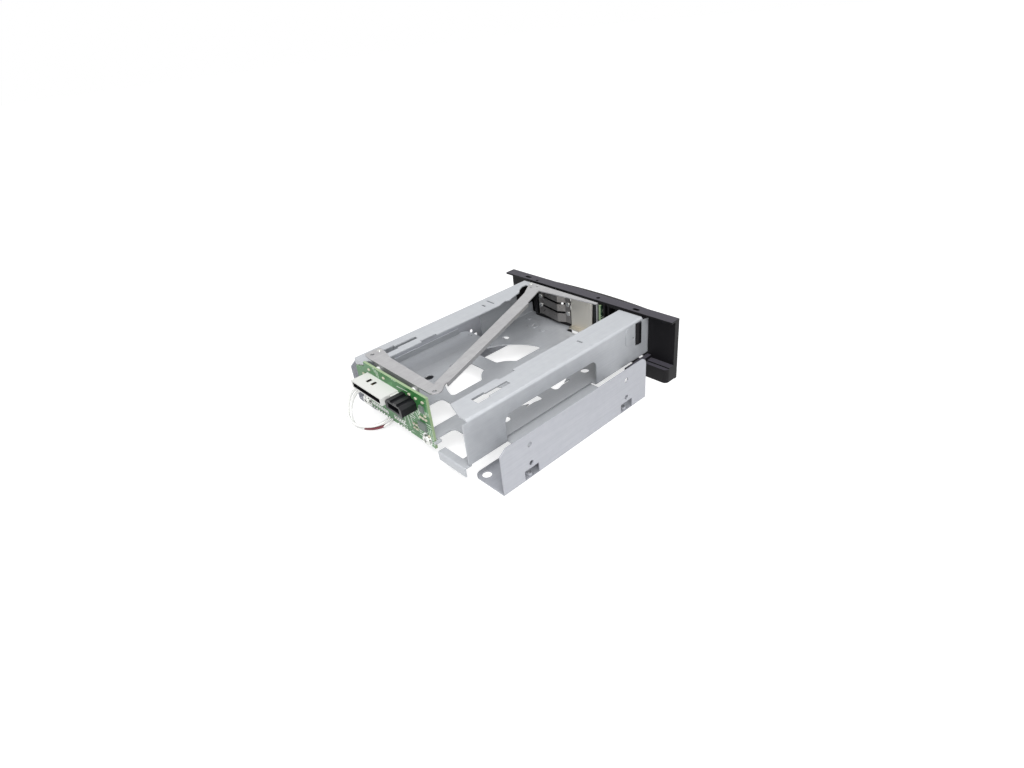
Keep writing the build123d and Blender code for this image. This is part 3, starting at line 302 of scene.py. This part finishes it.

# %% [markdown]
# ## Moulded plastics
# The bezel, door and lever are black ABS with a fine spark-eroded grain that breaks
# up the shine. The sockets are nylon, smoother, in off-white and in black. The faces
# that look up get a painted highlight, a lighter grey standing for the sky's sheen,
# which greys the top of the black bezel. The same function serves the chips' dull
# epoxy, the buff ceramic, the clear lamps and the wires' soft PVC. The white socket's
# mouth is painted near black as painted shade, and one strand is dark red for a stretch under the
# board.

# %% Moulded plastics
MOULD_GRAIN = 0.00035
DRIFT_SCALE = 60.0
MOULD_SWING = 0.04
MOULD_DEPTH = 0.00004
PLASTIC_IOR = 1.53
# where the painted highlight on upward faces starts and where it is full
TOP_LIGHT_FROM = 0.6
TOP_LIGHT_FULL = 0.95


def moulded(name, colour, roughness, grain, strength, edge_radius, sheen=0.5, other=None, top_light=None):
    material, tree = new_material(name)
    place = add(tree, "ShaderNodeTexCoord")
    tint = linear(colour)
    # painted highlight: faces that look up are mixed toward a lighter grey
    if top_light:
        facing = add(tree, "ShaderNodeSeparateXYZ", {"Vector": (place, "Normal")})
        top_light_share = add(tree, "ShaderNodeMapRange", {
            "Value": (facing, "Z"), "From Min": TOP_LIGHT_FROM, "From Max": TOP_LIGHT_FULL})
        mixed = add(tree, "ShaderNodeMixRGB", {
            "Fac": (top_light_share, "Result"), "Color1": tint, "Color2": linear(top_light)})
        tint = (mixed, "Color")
    if other:
        low, high, other_colour = other
        gate = inside_box(tree, place, low, high)
        mixed = add(tree, "ShaderNodeMixRGB", {
            "Fac": (gate, 0), "Color1": tint, "Color2": linear(other_colour)})
        tint = (mixed, "Color")
    pits = add(tree, "ShaderNodeTexVoronoi", {
        "Vector": (place, "Object"), "Scale": 1 / grain}, feature="SMOOTH_F1")
    drift = add(tree, "ShaderNodeTexNoise", {
        "Vector": (place, "Object"), "Scale": DRIFT_SCALE, "Detail": 4.0, "Roughness": 0.5})
    rough = add(tree, "ShaderNodeMapRange", {
        "Value": (drift, "Fac"), "From Min": NOISE_LOW, "From Max": NOISE_HIGH,
        "To Min": roughness - MOULD_SWING, "To Max": roughness + MOULD_SWING})
    edge = add(tree, "ShaderNodeBevel", {"Radius": edge_radius}, samples=4)
    bump = add(tree, "ShaderNodeBump", {
        "Strength": strength, "Distance": MOULD_DEPTH, "Height": (pits, "Distance"),
        "Normal": (edge, "Normal")})
    shader = add(tree, "ShaderNodeBsdfPrincipled", {
        "Base Color": tint, "Roughness": (rough, "Result"), "IOR": PLASTIC_IOR,
        "Specular IOR Level": sheen, "Normal": (bump, "Normal")})
    finish_material(tree, shader)
    return material


# painted shade: inside this box the socket's mouth is coloured near black
MOUTH_SHADE_BOX = ((0.00785, 0.0665, 0.03165), (0.03765, 0.0760, 0.03575))
RED_STRETCH = ((0.0275, 0.0640, 0.0000), (0.0368, 0.0785, 0.0100))

# the bezel's upward faces carry a painted highlight
abs_black = moulded("moulded_black_abs", "#0E0D10", 0.52, MOULD_GRAIN, 0.25, 0.0004, sheen=0.18,
                    top_light="#424047")
abs_door = moulded("moulded_black_abs_door", "#0E0D10", 0.48, MOULD_GRAIN, 0.25, 0.0004, sheen=0.25)
nylon_white = moulded("moulded_white_nylon", "#E4E4E4", 0.42, MOULD_GRAIN, 0.08, 0.0002)
# the white socket with painted shade in its mouth
nylon_socket = moulded("moulded_white_nylon_socket", "#D5D6D3", 0.42, MOULD_GRAIN, 0.08, 0.0002,
                       other=(*MOUTH_SHADE_BOX, "#0C0C0E"))
nylon_black = moulded("moulded_black_nylon", "#0F1013", 0.38, MOULD_GRAIN, 0.10, 0.0002, sheen=0.32)
epoxy_grey = moulded("moulded_grey_epoxy", "#6A746F", 0.55, 0.0002, 0.2, 0.0001)
ceramic_buff = moulded("sintered_ceramic", "#C9C3B2", 0.45, 0.0003, 0.1, 0.0001)
lamp_clear = moulded("moulded_clear_lamp", "#DDE2CF", 0.15, 0.0003, 0.02, 0.0002)
pvc_white = moulded("extruded_white_pvc", "#ECECEA", 0.40, 0.0008, 0.08, 0.0002)
pvc_marked = moulded("extruded_white_pvc_marked", "#ECECEA", 0.40, 0.0008, 0.08, 0.0002,
                     other=(*RED_STRETCH, "#6A2531"))
print("plastics made")

# %% [markdown]
# ## The circuit board
# The board is glass fibre under a green solder mask. Copper tracks show through the
# mask as paler lines, so stepped waves along and across the board draw them, and a
# coarse pattern turns them on and off from one patch to the next.

# %% The circuit board
TRACK_PITCH = 0.0016
WAVE_REPEAT = 0.31  # a wave node at scale 1 repeats about every 0.31 m
TRACK_EDGE = 0.72  # the wave's height above which copper lies
PATCH_SIZE = 0.0050
BUSY_X = -0.018
BARE_X = 0.020
BARE_SHARES = (0.30, 0.80)
PLAIN_Z = (0.026, 0.036)
PLAIN_SHARE = 0.88
WEAVE_SCALE = 1500.0
MASK_BUMP = 0.3
MASK_DEPTH = 0.00003
MASK_ROUGHNESS = 0.34
MASK_IOR = 1.5
PALE_TRACK = "#D3E2D2"
GLASS_EDGE = "#93A982"


def solder_mask(name, mask_colour, track_colour, flat_axis):
    material, tree = new_material(name)
    place = add(tree, "ShaderNodeTexCoord")
    spot = add(tree, "ShaderNodeSeparateXYZ", {"Vector": (place, "Object")})
    facing = add(tree, "ShaderNodeSeparateXYZ", {"Vector": (place, "Normal")})
    facing = add(tree, "ShaderNodeMath", {0: (facing, flat_axis)}, operation="ABSOLUTE")
    along, across = [
        add(tree, "ShaderNodeTexWave", {
            "Vector": (place, "Object"), "Scale": WAVE_REPEAT / TRACK_PITCH, "Distortion": 0.0},
            wave_type="BANDS", bands_direction=direction, wave_profile="SIN")
        for direction in ("Z", "X")]
    patches = add(tree, "ShaderNodeTexVoronoi", {
        "Vector": (place, "Object"), "Scale": 1 / PATCH_SIZE, "Randomness": 0.9},
        feature="F1", distance="CHEBYCHEV")
    which = add(tree, "ShaderNodeSeparateColor", {"Color": (patches, "Color")})
    turned = add(tree, "ShaderNodeMath", {0: (which, "Red"), 1: 0.5}, operation="GREATER_THAN")
    bands = add(tree, "ShaderNodeMix", {
        0: (turned, 0), 2: (along, "Fac"), 3: (across, "Fac")}, data_type="FLOAT")
    line = add(tree, "ShaderNodeMath", {0: (bands, 0), 1: TRACK_EDGE}, operation="GREATER_THAN")
    bare = add(tree, "ShaderNodeMapRange", {
        "Value": (spot, "X"), "From Min": BUSY_X, "From Max": BARE_X,
        "To Min": BARE_SHARES[0], "To Max": BARE_SHARES[1]})
    plain = add(tree, "ShaderNodeMapRange", {
        "Value": (spot, "Z"), "From Min": PLAIN_Z[0], "From Max": PLAIN_Z[1],
        "To Min": 0.0, "To Max": PLAIN_SHARE})
    bare = add(tree, "ShaderNodeMath", {0: (bare, "Result"), 1: (plain, "Result")}, operation="MAXIMUM")
    present = add(tree, "ShaderNodeMath", {0: (which, "Green"), 1: (bare, 0)}, operation="GREATER_THAN")
    track = add(tree, "ShaderNodeMath", {0: (line, 0), 1: (present, 0)}, operation="MULTIPLY")
    weave = add(tree, "ShaderNodeTexNoise", {
        "Vector": (place, "Object"), "Scale": WEAVE_SCALE, "Detail": 2.0})
    drawn = add(tree, "ShaderNodeMath", {0: (which, "Blue"), 1: (bare, 0)}, operation="GREATER_THAN")
    copper = add(tree, "ShaderNodeMixRGB", {
        "Fac": (drawn, 0), "Color1": linear(track_colour), "Color2": linear(PALE_TRACK)})
    colour = add(tree, "ShaderNodeMixRGB", {
        "Fac": (track, 0), "Color1": linear(mask_colour), "Color2": (copper, "Color")})
    edge = add(tree, "ShaderNodeMath", {0: (facing, 0), 1: 0.5}, operation="LESS_THAN")
    colour = add(tree, "ShaderNodeMixRGB", {
        "Fac": (edge, 0), "Color1": (colour, "Color"), "Color2": linear(GLASS_EDGE)})
    height = add(tree, "ShaderNodeMath", {0: (track, 0), 1: (weave, "Fac")}, operation="ADD")
    bump = add(tree, "ShaderNodeBump", {
        "Strength": MASK_BUMP, "Distance": MASK_DEPTH, "Height": (height, 0)})
    shader = add(tree, "ShaderNodeBsdfPrincipled", {
        "Base Color": (colour, "Color"), "Roughness": MASK_ROUGHNESS, "IOR": MASK_IOR,
        "Normal": (bump, "Normal")})
    finish_material(tree, shader)
    return material


board_green = solder_mask("green_solder_mask", "#33733A", "#5D9A62", "Y")
board_dark = solder_mask("dark_green_solder_mask", "#243A2C", "#4B6B56", "X")
silk_white = moulded("printed_white_ink", "#DCE4DA", 0.6, 0.0003, 0.05, 0.0001)
print("board finish made")

# %% [markdown]
# ## Give the solids their finishes
# The solids are already the right shape, so each only takes a material. A table of
# node and finish keeps this to one loop.

# %% Give the solids their finishes
FINISHES = {
    "cage_tray": plated_tray, "bracket_left": plated_bracket, "bracket_right": plated_bracket,
    "top_brace": plated_brace, "brace_rivets": zinc_bright, "backplane_board": board_green,
    "board_screws": zinc_bright, "board_spacers": nylon_white, "power_socket": nylon_socket,
    "power_socket_tongue": nylon_black, "power_contacts": gold_flash, "data_socket": nylon_black,
    "data_contacts": gold_flash, "drive_receptacle": nylon_black, "receptacle_contacts": gold_flash,
    "solder_pins": tin_joint, "board_chips": epoxy_grey, "board_passives": ceramic_buff,
    "wire_header": nylon_white, "front_header": nylon_white, "front_bezel": abs_black,
    "hinge_pins": zinc_bright, "drive_door": abs_door, "door_spring": spring_dark,
    "door_rivets": zinc_bright, "door_plate": nickel_sheet, "door_strip_black": nylon_black,
    "door_strip_steel": plated_brace, "door_board": board_dark, "door_leds": lamp_clear,
    "latch_lever": abs_door, "latch_pin": zinc_bright, "latch_spring": spring_dark,
    "led_cable_inner": pvc_white, "led_cable_outer": pvc_white,
}


def set_finish(piece, material):
    piece.data.materials.clear()
    piece.data.materials.append(material)


for node_name, material in FINISHES.items():
    set_finish(nodes[node_name], material)
for strand, material in zip(cable_strands, (pvc_marked, pvc_white)):
    set_finish(strand, material)
print("nodes without a finish:", sorted(set(nodes) - set(FINISHES)))

# %% [markdown]
# ## Marks on the board
# The board's rear face carries flat tinned lands, a ring under each screw head and
# white printed strokes. Lands and strokes are thin plates with their edges rounded
# over by a bevel, as melted tin and screened ink are, and a ring is a flat disc with
# its middle opened. One land and one ring are modelled, then copied to their places.

# %% Marks on the board
BOARD_REAR = 0.064575
LAND_SIZE = (0.0011, 0.0026)
LAND_ROWS = ((0.0254, 0.0484, 13, 0.0126), (0.0071, 0.0174, 6, 0.0127))
PLATE_THICK = 0.00016
EDGE_SHARE = 0.4
EDGE_STEPS = 3
RING_SIDES = 48
RING_CENTRES = ((-0.0158, 0.0122), (0.0486, 0.0122))
RING_RADII = (0.0034, 0.0042)
STROKES = (
    (0.0055, 0.0162, 0.0006, 0.0040, 0), (0.0072, 0.0143, 0.0034, 0.0006, 0),
    (-0.0022, 0.0190, 0.0007, 0.0066, 12), (0.0012, 0.0172, 0.0007, 0.0070, 12),
    (-0.0096, 0.0256, 0.0006, 0.0046, 38), (-0.0122, 0.0284, 0.0006, 0.0042, -35),
    (-0.0070, 0.0275, 0.0006, 0.0044, -30), (-0.0165, 0.0298, 0.0006, 0.0040, 42),
    (-0.0098, 0.0170, 0.0046, 0.0006, 20), (-0.0050, 0.0236, 0.0040, 0.0006, -18),
    (0.0012, 0.0389, 0.0110, 0.0004, 4),
)


def thin_plate(name, x, z, width, height, turn, thick, material):
    bpy.ops.object.select_all(action="DESELECT")
    bpy.ops.mesh.primitive_cube_add(size=1)
    plate = bpy.context.object
    plate.name = name
    plate.scale = (width, thick, height)
    plate.rotation_euler = (0, math.radians(turn), 0)
    plate.location = (x, BOARD_REAR + thick / 2, z)
    bpy.ops.object.transform_apply(location=True, rotation=True, scale=True)
    rounding = plate.modifiers.new("rounding", "BEVEL")
    rounding.width = min(thick, width, height) * EDGE_SHARE
    rounding.segments = EDGE_STEPS
    bpy.ops.object.modifier_apply(modifier=rounding.name)
    set_finish(plate, material)
    return plate


def flat_ring(name, x, z, radii, thick, material):
    bpy.ops.object.select_all(action="DESELECT")
    bpy.ops.mesh.primitive_cylinder_add(
        vertices=RING_SIDES, radius=radii[1], depth=thick, end_fill_type="NGON")
    ring = bpy.context.object
    ring.name = name
    ring.rotation_euler = (math.radians(90), 0, 0)
    ring.location = (x, BOARD_REAR + thick / 2, z)
    bpy.ops.object.transform_apply(location=True, rotation=True, scale=True)
    bpy.ops.object.mode_set(mode="EDIT")
    bpy.ops.mesh.select_mode(type="FACE")
    bpy.ops.mesh.select_all(action="SELECT")
    bpy.ops.mesh.select_face_by_sides(number=4, type="GREATER", extend=False)
    bpy.ops.mesh.inset(thickness=radii[1] - radii[0])
    bpy.ops.mesh.bridge_edge_loops()
    bpy.ops.object.mode_set(mode="OBJECT")
    set_finish(ring, material)
    return ring


def copy_along(piece, x, z):
    copied = piece.copy()
    copied.data = piece.data.copy()
    copied.data.transform(Matrix.Translation((x, 0, z)))
    bpy.context.scene.collection.objects.link(copied)
    return copied


land_places = [(first + (last - first) * step / (count - 1), z)
               for first, last, count, z in LAND_ROWS for step in range(count)]
first_x, first_z = land_places[0]
first_land = thin_plate("solder_land", first_x, first_z, *LAND_SIZE, 0, PLATE_THICK, tin_joint)
tinned = [first_land] + [copy_along(first_land, x - first_x, z - first_z) for x, z in land_places[1:]]
ring_x, ring_z = RING_CENTRES[0]
first_ring = flat_ring("earth_ring", ring_x, ring_z, RING_RADII, PLATE_THICK, tin_joint)
tinned += [first_ring] + [copy_along(first_ring, x - ring_x, z - ring_z) for x, z in RING_CENTRES[1:]]
printed = [thin_plate("printed_stroke", *stroke, PLATE_THICK / 2, silk_white) for stroke in STROKES]
for pieces, slot_name in ((tinned, "tin_solder"), (printed, "white_plastic")):
    for piece in pieces:
        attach(piece, "cage")
print("marks on the board:", len(tinned), "tinned,", len(printed), "printed")

# %% [markdown]
# ## The floor
# The picture has no visible floor, only white with soft shadows. The floor is lit as
# plain white, and rays from the camera see some white added, so that it fades into
# the background and still keeps the object's shadow.

# %% The floor
FLOOR_SIZE = 12.0
FADE_START = 0.25
FADE_END = 0.70
NEAR_WHITE = 0.66
PAPER_GREY = "#C4C4C4"
WHITE = "#FFFFFF"


def seen_rays(tree):
    path = add(tree, "ShaderNodeLightPath")
    seen = add(tree, "ShaderNodeMath", {
        0: (path, "Is Camera Ray"), 1: (path, "Is Glossy Ray")}, operation="ADD")
    return add(tree, "ShaderNodeMath", {
        0: (seen, 0), 1: (path, "Is Transmission Ray")}, operation="ADD", use_clamp=True)


bpy.ops.object.select_all(action="DESELECT")
bpy.ops.mesh.primitive_plane_add(size=FLOOR_SIZE, location=(0, 0, 0))
floor = bpy.context.object
floor.name = "floor"
material, tree = new_material("white_paper_floor")
seen = seen_rays(tree)
place = add(tree, "ShaderNodeTexCoord")
reach = add(tree, "ShaderNodeVectorMath", {0: (place, "Object")}, operation="LENGTH")
white = add(tree, "ShaderNodeMapRange", {
    "Value": (reach, "Value"), "From Min": FADE_START, "From Max": FADE_END,
    "To Min": NEAR_WHITE, "To Max": 1.0})
lift = add(tree, "ShaderNodeMath", {0: (seen, 0), 1: (white, "Result")}, operation="MULTIPLY")
glow = add(tree, "ShaderNodeEmission", {"Color": linear(WHITE), "Strength": (lift, 0)})
paper = add(tree, "ShaderNodeBsdfDiffuse", {"Color": linear(PAPER_GREY)})
both = add(tree, "ShaderNodeAddShader", {0: (glow, 0), 1: (paper, 0)})
add(tree, "ShaderNodeOutputMaterial", {"Surface": (both, 0)})
set_finish(floor, material)
print("floor size in m:", FLOOR_SIZE)

# %% [markdown]
# ## The light
# A product like this is shot in a light tent: white all round, brighter above. The
# world gives the even part. A large lamp above gives the tops their lead over the
# walls, and a weaker one behind the camera lifts the walls that face it.

# %% The light
WORLD_LEVEL = 0.38
LAMPS = (
    ("lamp_above", (-0.35, 0.35, 1.00), (0, 0, 0), 0.8, 10.0),
    ("lamp_behind_camera", (-0.80, 0.45, 0.50), (0, 0, 0.02), 0.6, 5.6),
)
world = bpy.data.worlds.new("light_tent")
bpy.context.scene.world = world
world.use_nodes = True
tree = world.node_tree
tree.nodes.clear()
seen = seen_rays(tree)
level = add(tree, "ShaderNodeMapRange", {"Value": (seen, 0), "To Min": WORLD_LEVEL, "To Max": 1.0})
sky = add(tree, "ShaderNodeBackground", {"Color": linear(WHITE), "Strength": (level, "Result")})
add(tree, "ShaderNodeOutputWorld", {"Surface": (sky, "Background")})


def add_lamp(name, place, aim, size, power):
    data = bpy.data.lights.new(name, "AREA")
    data.shape = "SQUARE"
    data.size = size
    data.energy = power
    lamp = bpy.data.objects.new(name, data)
    lamp.location = place
    lamp.rotation_euler = (Vector(aim) - Vector(place)).to_track_quat("-Z", "Y").to_euler()
    bpy.context.scene.collection.objects.link(lamp)


for lamp_facts in LAMPS:
    add_lamp(*lamp_facts)
bpy.context.scene.view_settings.view_transform = "Standard"
print("world level:", WORLD_LEVEL)
